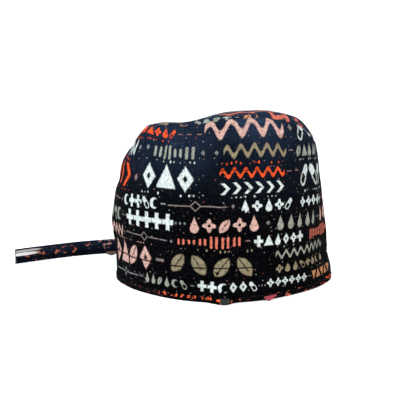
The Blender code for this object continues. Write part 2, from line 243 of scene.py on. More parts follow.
def roundCurve(turns, values, at):
    # the same on a closed round of turns
    turns, values = np.asarray(turns, float), np.asarray(values, float)
    places = np.concatenate([turns[-2:] - 360, turns, turns[:2] + 360])
    return curveThrough(places, np.concatenate([values[-2:], values, values[:2]]), np.asarray(at) % 360)


def tableShare(sections, along, at, turn):
    # a table's value for a grid of places (rows, columns) and the columns' turns
    sides = np.array([sections[side] for side in compass]).T
    shares = curveThrough(sections[along], sides, at.ravel()).reshape(*at.shape, len(compass))
    weights = roundCurve(list(compass.values()), np.eye(len(compass)), turn)
    return np.einsum("rcs,cs->rc", shares, weights)


def hump(distance, halfWidth):
    share = np.minimum(np.abs(distance) / halfWidth, 1.0)
    return (1 - share * share) ** 2


def bell(distance, width):
    return np.exp(-((distance / width) ** 2))


def turnBetween(turn, other):
    return (turn - other + 180) % 360 - 180


def foldDepth(folds, at, turn):
    depth = np.zeros(np.broadcast(at, turn).shape)
    for k in range(len(folds["turn"])):
        past = at - folds["place"][k]
        beside = turnBetween(turn, folds["turn"][k] + folds["lean"][k] * past)
        depth += folds["depth"][k] * hump(beside, folds["halfTurn"][k]) * hump(past, folds["halfPlace"][k])
    return depth * cap["hemHalfWidth"]


def cornerOut(turn):
    return hemCorner["out"] * hump(turnBetween(turn, hemCorner["turn"]), hemCorner["halfTurn"])


def seamHeight(turn):
    return cap["seamHeight"] * roundCurve(seamLine["turn"], seamLine["height"], turn)


def outwardAt(turn):
    angle = np.radians(turn)
    across, back = np.sin(angle) / cap["hemHalfWidth"], -np.cos(angle) / cap["hemHalfDepth"]
    return np.stack([across, back, np.zeros_like(angle)], -1) / np.hypot(across, back)[..., None]


bandLowest = cap["hemHeight"] + cap["gap"]


def bandPlain(turn, rise):
    # the band's face as the frame has it, not yet centred: rise is (rows, columns)
    angle = np.radians(turn)
    share = tableShare(bandSections, "rise", rise, turn)
    x = np.sin(angle) * cap["hemHalfWidth"] * share
    y = -np.cos(angle) * cap["hemHalfDepth"] * share
    z = bandLowest + (seamHeight(turn) - bandLowest) * rise
    return np.stack([x, y, z], -1) + outwardAt(turn) * foldDepth(bandFolds, rise, turn)[..., None]


def gatherDepth(turn, inward):
    fromNape = turnBetween(turn, compass["back"])
    fading = hump(fromNape, cap["gatherHalfSpread"]) * hump(inward, cap["gatherReach"])
    return cap["gatherDepth"] * fading * np.cos(np.radians(fromNape * 360 / cap["gatherStep"]))


def crownPlain(turn, inward):
    seam = bandPlain(turn, np.ones((1, len(turn))))
    top = cap["seamHeight"] + cap["crownRise"]
    highest = np.array([cap["crownMiddleRight"], -cap["crownMiddleFront"], top])
    climbed = tableShare(crownSections, "inward", inward, turn)
    place = seam + (highest - seam) * inward[..., None]
    place[..., 2] = seam[..., 2] + (top - seam[..., 2]) * climbed
    puff = foldDepth(crownFolds, inward, turn) + gatherDepth(turn, inward)
    up = np.zeros_like(place)
    up[..., 2] = (1 + inward) / 2
    lift = outwardAt(turn) * (1 - inward)[..., None] + up
    return place + lift * (puff * np.minimum(inward / cap["foldsStart"], 1.0))[..., None]


def capMiddle():
    turn = np.arange(cap["columnsInFrame"]) * 360.0 / cap["columnsInFrame"]
    rows = np.repeat(bandSections["rise"][:, None], len(turn), 1)
    band = bandPlain(turn, rows)
    hemFace = bandPlain(turn, rows[:1])[0] + outwardAt(turn) * cap["hemProud"]
    every = np.concatenate([band.reshape(-1, 3), hemFace])
    centre = (every.min(0) + every.max(0)) / 2
    return np.array([centre[0], centre[1], 0.0])


middle = capMiddle()
turns = 180 + np.arange(cloth["columns"]) * 360.0 / cloth["columns"]  # the grids' join is at the nape
hemLine = bandPlain(turns, np.zeros((1, len(turns))))[0] - middle


def gridNormals(grid):
    # outward direction at each point of a grid whose rows are closed rounds
    around = np.roll(grid, -1, 1) - np.roll(grid, 1, 1)
    upward = np.empty_like(grid)
    upward[1:-1] = grid[2:] - grid[:-2]
    upward[0], upward[-1] = grid[1] - grid[0], grid[-1] - grid[-2]
    normals = np.cross(around, upward)
    return normals / np.linalg.norm(normals, axis=-1, keepdims=True)


def lengthsAlong(points):
    # length of a path from its first point to each; columns of a grid are paths side by side
    steps = np.linalg.norm(np.diff(points, axis=0), axis=-1)
    return np.concatenate([np.zeros_like(steps[:1]), np.cumsum(steps, 0)])


def noiseOver(across, up, size, stretch, seed):
    # smooth noise over a flat cloth: across and up in metres, stretched upwards
    places = np.stack([across / size, up / (size * stretch), np.full_like(across, seed)], -1)
    flat = [noise.noise(Vector(place)) for place in places.reshape(-1, 3)]
    return np.array(flat).reshape(across.shape)


def ripples(across, up, seed, fromSeam):
    # soft unevenness of hanging cotton, still beside the seam
    wide = noiseOver(across, up, cloth["rippleSize"], cloth["rippleStretch"], seed)
    small = noiseOver(across, up, cloth["crumpleSize"], cloth["crumpleStretch"], seed + 7.3)
    depth = wide * cloth["rippleDepth"] + small * cloth["crumpleDepth"]
    return depth * np.minimum(1, fromSeam / cloth["stillBySeam"])


def seamSink(across, fromSeam):
    # a sewn seam's valley, and the small puckers beside it, which come unevenly
    wander = sum(size * np.sin(across * waves) for size, waves in cloth["puckerWander"])
    pucker = np.cos(across * 2 * math.pi / cloth["puckerPitch"] + wander)
    fading = np.exp(-fromSeam / cloth["puckerReach"])
    return cloth["pucker"] * pucker * fading - cloth["seamDip"] * bell(fromSeam, cloth["seamDipWidth"])


def lifted(grid):
    # the cloth with its top edge raised and lowered
    share = np.clip((grid[..., 2] - cloth["liftFrom"]) / (cloth["liftWhole"] - cloth["liftFrom"]), 0.0, 1.0)
    rise = curveThrough(topLift["across"], topLift["lift"], grid[..., 0].ravel()).reshape(share.shape)
    moved = grid.copy()
    moved[..., 2] += rise * share * share * (3 - 2 * share)
    return moved


# Objects and meshes

def addObject(name, data):
    made = bpy.data.objects.new(name, data)
    bpy.context.scene.collection.objects.link(made)
    return made


def meshObject(name, verts, faces, materials, uvs=None, smooth=True):
    mesh = bpy.data.meshes.new(name)
    mesh.from_pydata(verts, [], faces)
    if uvs is not None:
        mesh.uv_layers.new(name="cloth").uv.foreach_set("vector", np.array(uvs, np.float32).ravel())
    for material in materials:
        mesh.materials.append(material)
    if smooth:
        mesh.shade_smooth()
    return addObject(name, mesh)


def cleaned(made):
    # points in one place joined, and every face turned outwards
    work = bmesh.new()
    work.from_mesh(made.data)
    bmesh.ops.remove_doubles(work, verts=work.verts, dist=1e-7)
    bmesh.ops.recalc_face_normals(work, faces=work.faces)
    work.to_mesh(made.data)
    work.free()
    return made


def tubeFaces(rings, count, start=0):
    # faces between closed rings of so many points each
    faces = []
    for low in range(start, start + (rings - 1) * count, count):
        for i in range(count):
            j = (i + 1) % count
            faces.append([low + i, low + j, low + count + j, low + count + i])
    return faces


def shutTube(rings, count):
    # the same with a face over each end
    ends = list(range(count))[::-1], list(range((rings - 1) * count, rings * count))
    return tubeFaces(rings, count) + list(ends)


def clothObject(name, outer, inner, across, up, materials, pole=None):
    # a shell of cloth: closed rows of an outer and an inner grid, joined at both edges or shut at a pole
    rows, columns = outer.shape[:2]
    last = rows - 1
    places = [outer.reshape(-1, 3), inner.reshape(-1, 3)]
    faces, uvs, slots = [], [], []

    def ring(wall, row):
        # a row's points with their places on the flat cloth, the first one again at the end
        start = (wall * rows + row) * columns
        return [(start + i % columns, (across[row][i], up[row][i % columns])) for i in range(columns + 1)]

    def addFaces(low, high, slot=0):
        # between two rows, or a row and a pole; the inner wall's faces look the other way
        for i in range(columns):
            corners = [low[i], low[i + 1]] + (high if len(high) == 1 else [high[i + 1], high[i]])
            if slot:
                corners.reverse()
            faces.append([point for point, _ in corners])
            uvs.extend(uv for _, uv in corners)
            slots.append(slot)

    for row in range(last):
        for wall in range(2):
            addFaces(ring(wall, row), ring(wall, row + 1), wall)
    addFaces(ring(1, 0), ring(0, 0))
    if pole is None:
        addFaces(ring(0, last), ring(1, last))
    else:
        places.append(np.array(pole))
        for wall in range(2):
            addFaces(ring(wall, last), [(2 * rows * columns + wall, (0.0, 0.0))], wall)
    made = meshObject(name, np.concatenate(places).tolist(), faces, materials, uvs)
    made.data.polygons.foreach_set("material_index", slots)
    return made


# Nodes: a Channel is a value that a node puts out, and arithmetic on it adds Math nodes

def operation(kind):
    return lambda *values: calc(kind, *values)


class Channel:
    __add__, __sub__, __mul__, __truediv__ = map(operation, ("ADD", "SUBTRACT", "MULTIPLY", "DIVIDE"))
    __mod__, __pow__, __abs__ = map(operation, ("MODULO", "POWER", "ABSOLUTE"))
    __lt__, __gt__, scaled = map(operation, ("LESS_THAN", "GREATER_THAN", "MULTIPLY_ADD"))

    def __init__(self, socket):
        self.socket = socket

    def __rsub__(self, other):
        return calc("SUBTRACT", other, self)

    def __neg__(self):
        return self * -1.0

    def split(self):
        return floor(self), fract(self)

    def ramp(self, low, high, toLow=0.0, toHigh=1.0):
        return Channel(nodeAfter("ShaderNodeMapRange", {}, self, low, high, toLow, toHigh).outputs[0])


smaller, larger, root, sine, floor, fract = map(
    operation, ("MINIMUM", "MAXIMUM", "SQRT", "SINE", "FLOOR", "FRACT")
)


def link(value, socket):
    # value: a Channel, a socket, a node, whose first output counts, or a plain value
    value = getattr(value, "socket", value)
    if isinstance(value, bpy.types.Node):
        value = value.outputs[0]
    if isinstance(value, bpy.types.NodeSocket):
        socket.id_data.links.new(value, socket)
    elif value is not None:
        socket.default_value = value


def addNode(tree, kind, settings, *values, **named):
    # values fill the inputs in order, named ones by name
    made = tree.nodes.new(kind)
    for label, setting in settings.items():
        setattr(made, label, setting)
    for value, socket in zip(values, made.inputs):
        link(value, socket)
    for label, value in named.items():
        link(value, made.inputs[label])
    return made


def nodeAfter(kind, settings, *values, **named):
    # a node in the tree that its first Channel is in
    every = (*values, *named.values())
    tree = next(value.socket.id_data for value in every if isinstance(value, Channel))
    return addNode(tree, kind, settings, *values, **named)


def calc(kind, *values, clamp=False):
    settings = {"operation": kind, "use_clamp": clamp}
    return Channel(nodeAfter("ShaderNodeMath", settings, *values).outputs[0])


def distanceTo(x, y):
    return root(x * x + y * y)


def combine(x, y, z=0.0):
    return Channel(nodeAfter("ShaderNodeCombineXYZ", {}, x, y, z).outputs[0])


def separate(vector):
    return [Channel(out) for out in nodeAfter("ShaderNodeSeparateXYZ", {}, vector).outputs]


def randomAt(x, y, z):
    # three random numbers that stay the same for one cell
    settings = {"noise_dimensions": "3D"}
    lots = Channel(nodeAfter("ShaderNodeTexWhiteNoise", settings, combine(x, y, z)).outputs["Color"])
    return [Channel(out) for out in nodeAfter("ShaderNodeSeparateColor", {}, lots).outputs]


def mixColour(share, a, b, blend="MIX"):
    # the node's inputs 1 to 5 are for other kinds of data
    settings = {"data_type": "RGBA", "blend_type": blend}
    return Channel(nodeAfter("ShaderNodeMix", settings, share, *[None] * 5, a, b).outputs[2])


def shaded(colour, shade):
    return mixColour(1.0, colour, combine(shade, shade, shade), "MULTIPLY")


def steps(share, stops):
    # a lookup table: each stop's colour holds from its place to the next
    made = nodeAfter("ShaderNodeValToRGB", {}, share)
    ramp = made.color_ramp
    ramp.interpolation = "CONSTANT"
    while len(ramp.elements) < len(stops):
        ramp.elements.new(1.0)
    for element, (place, colour) in zip(ramp.elements, stops):
        element.position = place
        element.color = (*colour, 1.0)
    return Channel(made.outputs[0])


def noiseTexture(vector, scale, detail=2.0, roughness=0.5):
    named = {"Scale": scale, "Detail": detail, "Roughness": roughness}
    return Channel(nodeAfter("ShaderNodeTexNoise", {}, vector, **named).outputs["Fac"])


def newGroup(name, kind, inputs, outputs):
    # a node group with named sockets, its inner ends, and the inputs' identifiers
    tree = bpy.data.node_groups.new(name, kind + "NodeTree")
    identifiers = {}
    for label, sort, *value in inputs:
        socket = tree.interface.new_socket(name=label, in_out="INPUT", socket_type="NodeSocket" + sort)
        if value:
            socket.default_value = value[0]
        identifiers[label] = socket.identifier
    for label, sort in outputs:
        tree.interface.new_socket(name=label, in_out="OUTPUT", socket_type="NodeSocket" + sort)
    inside = {socket.name: Channel(socket) for socket in tree.nodes.new("NodeGroupInput").outputs}
    return tree, inside, tree.nodes.new("NodeGroupOutput").inputs, identifiers


# Print: rows of plain figures in ink

printRows = {
    "period": 0.1345,
    # start, lower edge and height of each row of figures in metres, cell width over height, cells in a run
    "rows": (
        (0.0000, 0.0036, 0.0088, 0.84, 6),
        (0.0128, 0.0138, 0.0205, 0.82, 4),
        (0.0350, 0.0354, 0.0098, 0.84, 6),
        (0.0458, 0.0462, 0.0130, 0.84, 5),
        (0.0600, 0.0604, 0.0108, 0.84, 5),
        (0.0722, 0.0752, 0.0215, 0.80, 3),
        (0.0984, 0.0992, 0.0122, 0.84, 5),
        (0.1124, 0.1134, 0.0200, 0.82, 4),
    ),
    "bigFrom": 0.0150,  # rows this high may hold two smaller lines
    "splitShare": 0.42,
    "mixable": 8,  # the first kinds of figure, which may stand mixed in one run
    "mixedShare": 0.50,
    "gapCells": 1.0,
    # spread and least value of a run's size, slant and lift, of a split line's size, and of a bar's length
    "size": (0.18, 1.10),
    "slant": (0.30, -0.15),
    "lift": (0.12, -0.06),
    "splitSize": (0.22, 1.0),
    "barLength": (0.26, 0.06),
    "edge": 0.020,  # softness of a figure's edge, as a share of its height
    "raggedScale": 620.0,
    "thinBelow": 0.0115,  # rows lower than this may hold a thin line instead
    "thinShare": 0.26,
    "dotPitch": 0.16,  # dots above and below the big rows, in heights of the row
    "dotsFromMiddle": 0.565,
    "dotSize": (0.024, 0.012),
    "dotShare": 0.55,
    "splash": 0.0030,  # fine splatter: its cell, how many cells hold some, and its strength
    "splashShare": 0.17,
    "splashInk": 0.7,
    "splashSize": (0.09, 0.05),
    "splashPlace": (0.6, 0.2),
    "markInk": (0.130, 0.140, 0.140, 1.0),
}

# ink colours with the share of the runs that has each
inks = (
    (0.26, (0.480, 0.525, 0.500)),
    (0.17, (0.225, 0.232, 0.190)),
    (0.08, (0.560, 0.062, 0.012)),
    (0.11, (0.500, 0.130, 0.085)),
    (0.20, (0.455, 0.275, 0.232)),
    (0.06, (0.370, 0.165, 0.080)),
    (0.12, (0.205, 0.168, 0.103)),
)


def barDistance(x, y, half, radius):
    # distance to an upright rounded bar
    nearest = smaller(larger(y, -half), half)
    return distanceTo(x, y - nearest) - radius


def figureDistances(x, y, phase, lot, parity):
    # distances to the edge of each kind of figure, in heights of the row; phase is 0 to 1 over its cell
    ax, ay, away = abs(x), abs(y), distanceTo(x, y)
    side = parity.scaled(2.0, -1.0)  # every other figure is turned over

    arm, armUp, armAcross = 0.105, 0.36, 0.31
    plus = smaller(larger(ax - arm, ay - armUp), larger(ax - armAcross, ay - arm))

    steep, flat = 0.80, 0.60
    leanX = x * steep + y * side * flat
    leanY = y * steep + x * side * -flat
    leafCentre, leafRadius, veinHalf, veinFrom = 0.225, 0.430, 0.020, 0.20
    vein = smaller(veinHalf - abs(leanX), leanY + veinFrom)
    leaf = larger(distanceTo(abs(leanX) + leafCentre, leanY) - leafRadius, vein)

    pillHalf, pillRadius, pillWall = 0.22, 0.145, 0.030
    whole = barDistance(leanX, leanY, pillHalf, pillRadius)
    pill = whole + (leanY < 0.0) * (abs(whole) - pillWall - whole)  # its lower half is a mere outline

    ballDown, ballRadius, taper, tipStart, tipFrom = 0.14, 0.22, 0.42, 0.168, -0.06
    tip = larger(ax - y.scaled(-taper, tipStart), tipFrom - y)
    drop = smaller(distanceTo(x, y + ballDown) - ballRadius, tip)

    petalReach, petalDip, eye = 0.325, 0.075, 0.075
    squared = larger(away * away, 0.0001)
    between = x * x * y * y * 8.0 / (squared * squared)
    flower = larger(away - between.scaled(-petalDip, petalReach), eye - away)

    sideX, sideY, sideFrom, foot = 0.88, 0.47, 0.175, 0.30
    flipped = y * side
    triangle = larger(ax * sideX + flipped * sideY - sideFrom, -flipped - foot)

    gemReach, gemHole = 0.215, 0.070
    slope = ax * steep + ay * flat
    diamond = larger(slope - gemReach, gemHole - slope)

    moonRadius, biteRadius, biteAside = 0.31, 0.235, 0.15
    crescent = larger(away - moonRadius, biteRadius - distanceTo(x + side * biteAside, y))

    zigzagRise, zigzagHalf = 0.31, 0.080
    tent = abs(phase - 0.5).scaled(4 * zigzagRise, -zigzagRise)
    zigzag = abs(y - tent).scaled(0.52, -zigzagHalf)

    barAside, barHalf = 0.165, 0.075
    bars = barDistance(ax - barAside, y, lot.scaled(*printRows["barLength"]), barHalf)

    bendShare, bendPlace, bendHalf, bendReach = 0.80, 0.14, 0.080, 0.38
    bend = abs(ay.scaled(bendShare, x) - bendPlace).scaled(0.78, -bendHalf)
    chevron = larger(bend, ay - bendReach)

    waveRise, waveHalf = 0.22, 0.082
    swing = sine(phase * (2 * math.pi))
    wave = abs(swing.scaled(-waveRise, y)).scaled(0.62, -waveHalf)
    return [plus, leaf, pill, drop, flower, triangle, diamond, crescent, zigzag, bars, chevron, wave]


def lineDistance(x, y):
    # a thin flat line with an open diamond in its middle
    half, gemReach = 0.026, 0.220
    diamond = abs(x) * 0.60 + abs(y) * 0.80 - gemReach
    return smaller(abs(diamond) - half, larger(abs(y) - half, -diamond))


def markDistances(x, y, phase):
    # marks between runs: a small diamond, a dash, or beads
    gem = abs(x) * 0.71 + abs(y) * 0.71 - 0.075
    dash = larger(abs(x) - 0.16, abs(y) - 0.030)
    beadX = fract(phase * 3.0) - 0.5
    return [gem, dash, root(beadX * beadX * 0.06 + y * y) - 0.045]


def inked(distance, edge=printRows["edge"]):
    return distance.ramp(edge, -edge)


def inkOfKind(kind, distances):
    # the ink of the one figure whose number is kind
    found = 0.0
    for number, distance in enumerate(distances):
        found = calc("COMPARE", kind, float(number), 0.1) * inked(distance) + found
    return found


def pickOf(lot, count):
    return floor(lot * (count - 0.001))


def printGroup():
    # runs of one figure and one colour, some in two lines, and marks, thin lines, dots and splatter
    tree, inside, outside, _ = newGroup(
        "figureRows", "Shader",
        [
            ("Cloth", "Vector"), ("Shift", "Vector"), ("Wear", "Float", 0.3),
            ("Ragged", "Float", 0.09), ("Broken", "Float", 0.0), ("Patches", "Float", 150.0),
        ],
        [("Ink", "Color"), ("Mask", "Float")],
    )
    moved = addNode(tree, "ShaderNodeVectorMath", {}, inside["Cloth"], inside["Shift"])
    across, up, _ = separate(Channel(moved.outputs[0]))

    # the row, and its place and sizes from the table
    period, rows = printRows["period"], printRows["rows"]
    lap, inLap = (up / period).split()
    stops, cellStops = [], []
    for number, (start, lower, high, wide, count) in enumerate(rows, 1):
        stops.append((start / period, (lower / period, high / period, number / 16)))
        cellStops.append((start / period, (wide, count / 10, float(high > printRows["bigFrom"]))))
    bottom, height, rowLot = separate(steps(inLap, stops))
    pitch, runTenths, big = separate(steps(inLap, cellStops))
    t = (inLap - bottom) / height
    height = height * period
    runCells = runTenths * 10.0
    rowKey = lap.scaled(5.0, rowLot * 37.0)

    # the run, its size and its slant
    allCells = runCells + printRows["gapCells"]
    run, inRun = (across / (pitch * height * allCells) + rowKey * 0.618).split()
    runLots = randomAt(run, rowKey, 3.0)
    size = runLots[2].scaled(*printRows["size"])
    lift = fract(runLots[2] * 7.0).scaled(*printRows["lift"])
    slant = fract(runLots[2] * 13.0).scaled(*printRows["slant"])
    t = t - (inRun - 0.5).scaled(slant, lift)
    inRow = (t > 0.0) * (t < 1.0)

    # the line of a split run, the cell, and the place in the cell
    split = big * (runLots[0] < printRows["splitShare"])
    lines = split + 1.0
    inLines = t * lines
    line = floor(smaller(larger(inLines, 0.0), lines - 0.001))
    y = (inLines - line - 0.5) * split.scaled(*printRows["splitSize"]) / size
    counted = inRun * allCells * lines
    cell, phase = counted.split()
    x = (phase - 0.5) * pitch / size
    lineLots = randomAt(run, rowKey, line + 11.0)
    cellLots = randomAt(run.scaled(17.0, cell), rowKey, line + 23.0)
    used = runCells * lines - floor(lineLots[2] * 1.3)
    inUse = cell < used

    # the figures
    figures = figureDistances(x, y, phase, cellLots[0], cell % 2.0)
    oneKind, manyKinds = pickOf(lineLots[0], len(figures)), pickOf(cellLots[1], printRows["mixable"])
    mixed = fract(lineLots[0] * 31.0) < printRows["mixedShare"]
    kind = oneKind + mixed * (manyKinds - oneKind)
    ragged = (noiseTexture(inside["Cloth"], printRows["raggedScale"], 3.0, 0.65) - 0.5) * inside["Ragged"]
    drawn = inkOfKind(kind, [distance + ragged for distance in figures]) * inUse * inRow

    # marks between the runs, and thin lines in place of some small ones
    mark = inkOfKind(floor(lineLots[1] * 4.0), markDistances(x, y, phase)) * (1.0 - inUse) * inRow
    fromMiddle = (counted / used - 0.5) * used * pitch
    thinHere = (height < printRows["thinBelow"]) * (lineLots[1] < printRows["thinShare"])
    thin = inked(lineDistance(fromMiddle, y)) * thinHere * inUse * inRow
    drawn = drawn * (1.0 - thinHere)

    # dots along the big rows
    dotCell, inDot = (inRun * allCells * pitch / printRows["dotPitch"]).split()
    dotX = (inDot - 0.5) * printRows["dotPitch"]
    beyond = abs(t - 0.5) - printRows["dotsFromMiddle"]
    dotLots = randomAt(dotCell, run, rowKey + (t > 0.5))
    dotY = beyond - (dotLots[1] - 0.5) * 0.05
    dot = root(dotX * dotX + dotY * dotY * 0.5) - dotLots[2].scaled(*printRows["dotSize"])
    shown = big * (dotLots[0] > 1.0 - printRows["dotShare"])
    dots = inked(dot, printRows["edge"] / 2) * shown * (1.0 - inRow) * inUse

    # their colours
    stops, start = [], 0.0
    for share, colour in inks:
        stops.append((start, colour))
        start += share
    ink = mixColour(split * line, steps(runLots[1], stops), steps(fract(runLots[1] + 0.37), stops))
    ink = mixColour(larger(thin, mark), ink, printRows["markInk"])

    # fine splatter over the whole cloth
    splashX, inSplashX = (across / printRows["splash"]).split()
    splashY, inSplashY = (up / printRows["splash"]).split()
    lots, moreLots = randomAt(splashX, splashY, 51.0), randomAt(splashX, splashY, 67.0)
    flecks = [lots[number].scaled(*printRows["splashPlace"]) for number in (1, 2)]
    far = distanceTo(inSplashX - flecks[0], inSplashY - flecks[1])
    fleck = inked(far - moreLots[0].scaled(*printRows["splashSize"]), 0.03)
    fleck = fleck * (lots[0] < printRows["splashShare"])
    ink = mixColour(fleck * (1.0 - drawn), ink, steps(moreLots[1], stops))

    # wear: lost patches, thin places and uneven ink
    lost = inside["Broken"].scaled(0.30, 0.30)
    kept = noiseTexture(inside["Cloth"], inside["Patches"], 2.0, 0.6).ramp(lost, lost + 0.03)
    every = larger((drawn + mark + thin + dots) * kept, fleck * printRows["splashInk"])
    worn = noiseTexture(inside["Cloth"], 900.0, 3.0, 0.6).ramp(0.40, 0.56, 1.0 - inside["Wear"], 1.0)
    blotch = noiseTexture(inside["Cloth"], 420.0, 4.0, 0.65).ramp(0.35, 0.62, 0.62, 1.08)
    link(shaded(ink, blotch), outside["Ink"])
    link(calc("MULTIPLY", every, worn, clamp=True), outside["Mask"])
    return tree


def weaveGroup():
    # plain weave: height of the threads, and slight differences between them
    tree, inside, outside, _ = newGroup(
        "plainWeave", "Shader",
        [("Cloth", "Vector"), ("Thread", "Float", 0.00055)],
        [("Height", "Float"), ("Shade", "Float")],
    )
    along, crossing = 60.0, 1700.0  # slubs are long one way and fine the other
    across, up, _ = separate(inside["Cloth"])
    turn = calc("DIVIDE", math.pi, inside["Thread"])
    over = sine(across * turn) * sine(up * turn)
    slubs = noiseTexture(combine(across * along, up * crossing), 1.0)
    slubs = slubs + noiseTexture(combine(across * crossing, up * along), 1.0) - 1.0
    link(slubs.scaled(1.4, over), outside["Height"])
    link(slubs.scaled(0.75, 1.0), outside["Shade"])
    return tree


figureRows = printGroup()
plainWeave = weaveGroup()

# Cotton

clothLook = {
    "ground": (0.0066, 0.0124, 0.0250, 1.0),
    "paintedShadeBottom": 0.056,  # painted shade: the ground goes from black up to navy between these heights, darker lower down where less light falls
    "paintedShadeTop": 0.135,
    "paintedShadePower": 1.9,
    "groundPaintedShade": (0.0003, 0.0003, 0.0006, 1.0),
    "roughness": 0.86,
    "inkRoughness": 0.74,
    "specular": 0.008,
    "tieGroundLit": (0.0032, 0.0062, 0.0125, 1.0),
    "tieGroundShaded": (0.0008, 0.0016, 0.0036, 1.0),
    "tieShadeRamp": (0.0035, 0.0095),
    "groundGrain": 2.6,
    "washScale": 26.0,
    "washRange": (0.50, 1.60),
    "lint": (0.060, 0.066, 0.074, 1.0),
    "lintScale": 1250.0,
    "lintShare": 0.30,
    "coral": (0.560, 0.120, 0.060, 1.0),
    "weaveBump": (0.22, 0.00012),  # strength and height
    "crumpleBump": (0.35, 0.0010),
    "crumpleScale": 170.0,
}
# where the cloth is creased the ink is cracked off, which also paints a dark shade line in the crease: all
# round, and along a short line in front
pressed = {
    "lowLine": cloth["creaseHeight"],
    "highLine": 0.0962,
    "highRight": 0.004,
    "highHalf": 0.030,
    "highWhole": 0.021,
    "highShare": 0.8,
    "edge": (0.0008, 0.0003),
    "wander": 0.0012,
    "wanderScale": 55.0,
    "crackedAndShaded": 0.8,
}
# the hem's own marks: orange bits of a row of print that it cuts off, and the paler end of its binding
hemMarks = {
    "orange": (0.600, 0.075, 0.016, 1.0),
    "looseFrom": (0.035, 0.050),  # loose bits at the right, from here on
    "looseScale": 120.0,
    "looseEdge": (0.57, 0.60),
    "rowScale": (430.0, 230.0),
    "rowEdge": (0.53, 0.58),
    "rowLeft": (-0.054, -0.051),  # a close row at the left: its ends, and its lower and upper edge
    "rowRight": (0.001, -0.002),
    "rowLow": (0.0025, 0.0029),
    "rowHigh": (0.0049, 0.0045),
    "front": (-0.03, -0.05),
    "bindingEnd": (0.022, 0.028, 0.026, 1.0),
    "bindingHalf": (0.0042, 0.0030),
    "bindingShare": 0.8,
}
# middle and half size of each painted highlight at a tie's free end, a pale streak where light catches a
# fold, along and up the tie, and its colour;
# the last one is the tie's turned seam end, in its own colour
tieHighlightsAndSeamEnd = (
    (-0.0100, 0.0107, 0.0175, 0.0013, (0.30, 0.34, 0.35)),
    (-0.0085, 0.0079, 0.0165, 0.0016, (0.58, 0.64, 0.64)),
    (-0.0898, 0.0008, 0.0060, 0.0016, (0.075, 0.058, 0.042)),
)


def newMaterial(name, looks):
    material = bpy.data.materials.new(name)
    material.use_nodes = True
    tree = material.node_tree
    shader = tree.nodes["Principled BSDF"].inputs
    for label, value in looks.items():
        shader[label].default_value = value
    return material, tree, shader


def newCotton(name, roughness, sheen=0.0):
    # and the place on the piece, in its own frame
    looks = {"Roughness": roughness, "Sheen Weight": sheen, "Specular IOR Level": clothLook["specular"]}
    material, tree, shader = newMaterial(name, looks)
    return material, tree, shader, Channel(addNode(tree, "ShaderNodeTexCoord", {}).outputs["Object"])


def useGroup(tree, group, **values):
    made = addNode(tree, "ShaderNodeGroup", {"node_tree": group}, **values)
    return {socket.name: Channel(socket) for socket in made.outputs}


def bump(height, strength, distance, normal=None):
    named = {"Strength": strength, "Distance": distance, "Height": height, "Normal": normal}
    return Channel(nodeAfter("ShaderNodeBump", {}, **named).outputs[0])


def pressedLines(place):
    x, y, z = separate(place)
    z = z + (noiseTexture(place, pressed["wanderScale"]) - 0.5) * pressed["wander"]
    low, high = (abs(z - pressed[line]).ramp(*pressed["edge"]) for line in ("lowLine", "highLine"))
    aside = abs(x - pressed["highRight"])
    inFront = aside.ramp(pressed["highHalf"], pressed["highWhole"]) * (y < 0.0)
    return low + high * pressed["highShare"] * inFront


def cutRow(place):
    x, y, z = separate(place)
    loose = noiseTexture(place, hemMarks["looseScale"]).ramp(*hemMarks["looseEdge"])
    loose = loose * x.ramp(*hemMarks["looseFrom"])
    wide, high = hemMarks["rowScale"]
    close = noiseTexture(combine(x * wide, z * high), 1.0, 1.0).ramp(*hemMarks["rowEdge"])
    inRow = x.ramp(*hemMarks["rowLeft"]) * x.ramp(*hemMarks["rowRight"]) * y.ramp(*hemMarks["front"])
    inRow = inRow * z.ramp(*hemMarks["rowLow"]) * z.ramp(*hemMarks["rowHigh"])
    return larger(loose, close * inRow)


def bindingEnd(place):
    x, y, _ = separate(place)
    beside = abs(x - hemCorner["right"]).ramp(*hemMarks["bindingHalf"])
    return beside * y.ramp(*hemMarks["front"]) * hemMarks["bindingShare"]


def wallPaint(place, uv, ink, mask, dark):
    _, _, height = separate(place)
    # painted shade: the ground is darker lower down on the cap, where less light falls
    high = height.ramp(clothLook["paintedShadeBottom"], clothLook["paintedShadeTop"]) ** clothLook["paintedShadePower"]
    ground = mixColour(high, clothLook["groundPaintedShade"], clothLook["ground"])
    # the creases take the ink away: partly cracked ink, partly a painted shade line in the groove
    kept = pressedLines(place).scaled(-pressed["crackedAndShaded"], 1.0)
    return ground, mixColour(1.0, ink, (dark, dark, dark, 1.0), "MULTIPLY"), mask * kept


def hemPaint(place, uv, ink, mask, tint):
    bits = cutRow(place)
    ink = mixColour(bits, mixColour(tint, ink, clothLook["coral"]), hemMarks["orange"])
    # painted shade: the binding's ground takes the near-black shaded colour of the cap's lower part
    ground = mixColour(bindingEnd(place), clothLook["groundPaintedShade"], hemMarks["bindingEnd"])
    return ground, ink, larger(mask, bits)


def tiePaint(place, uv, ink, mask, tint):
    across, up, _ = separate(uv)
    # painted light and shade: the tie's ground is lit along its upper edge and shaded lower down its width
    ground = mixColour(up.ramp(*clothLook["tieShadeRamp"]), clothLook["tieGroundShaded"], clothLook["tieGroundLit"])
    ink = mixColour(tint, ink, clothLook["coral"])
    # painted highlights: pale streaks on the fold at the free end; the last mark is the seam end's own
    # colour
    for middleAcross, middleUp, halfAcross, halfUp, colour in tieHighlightsAndSeamEnd:
        away = distanceTo((across - middleAcross) / halfAcross, (up - middleUp) / halfUp)
        highlightAndSeamEnd = away.ramp(1.0, 0.75) * 0.9
        ink = mixColour(highlightAndSeamEnd, ink, (*colour, 1.0))
        mask = larger(mask, highlightAndSeamEnd)
    return ground, ink, mask


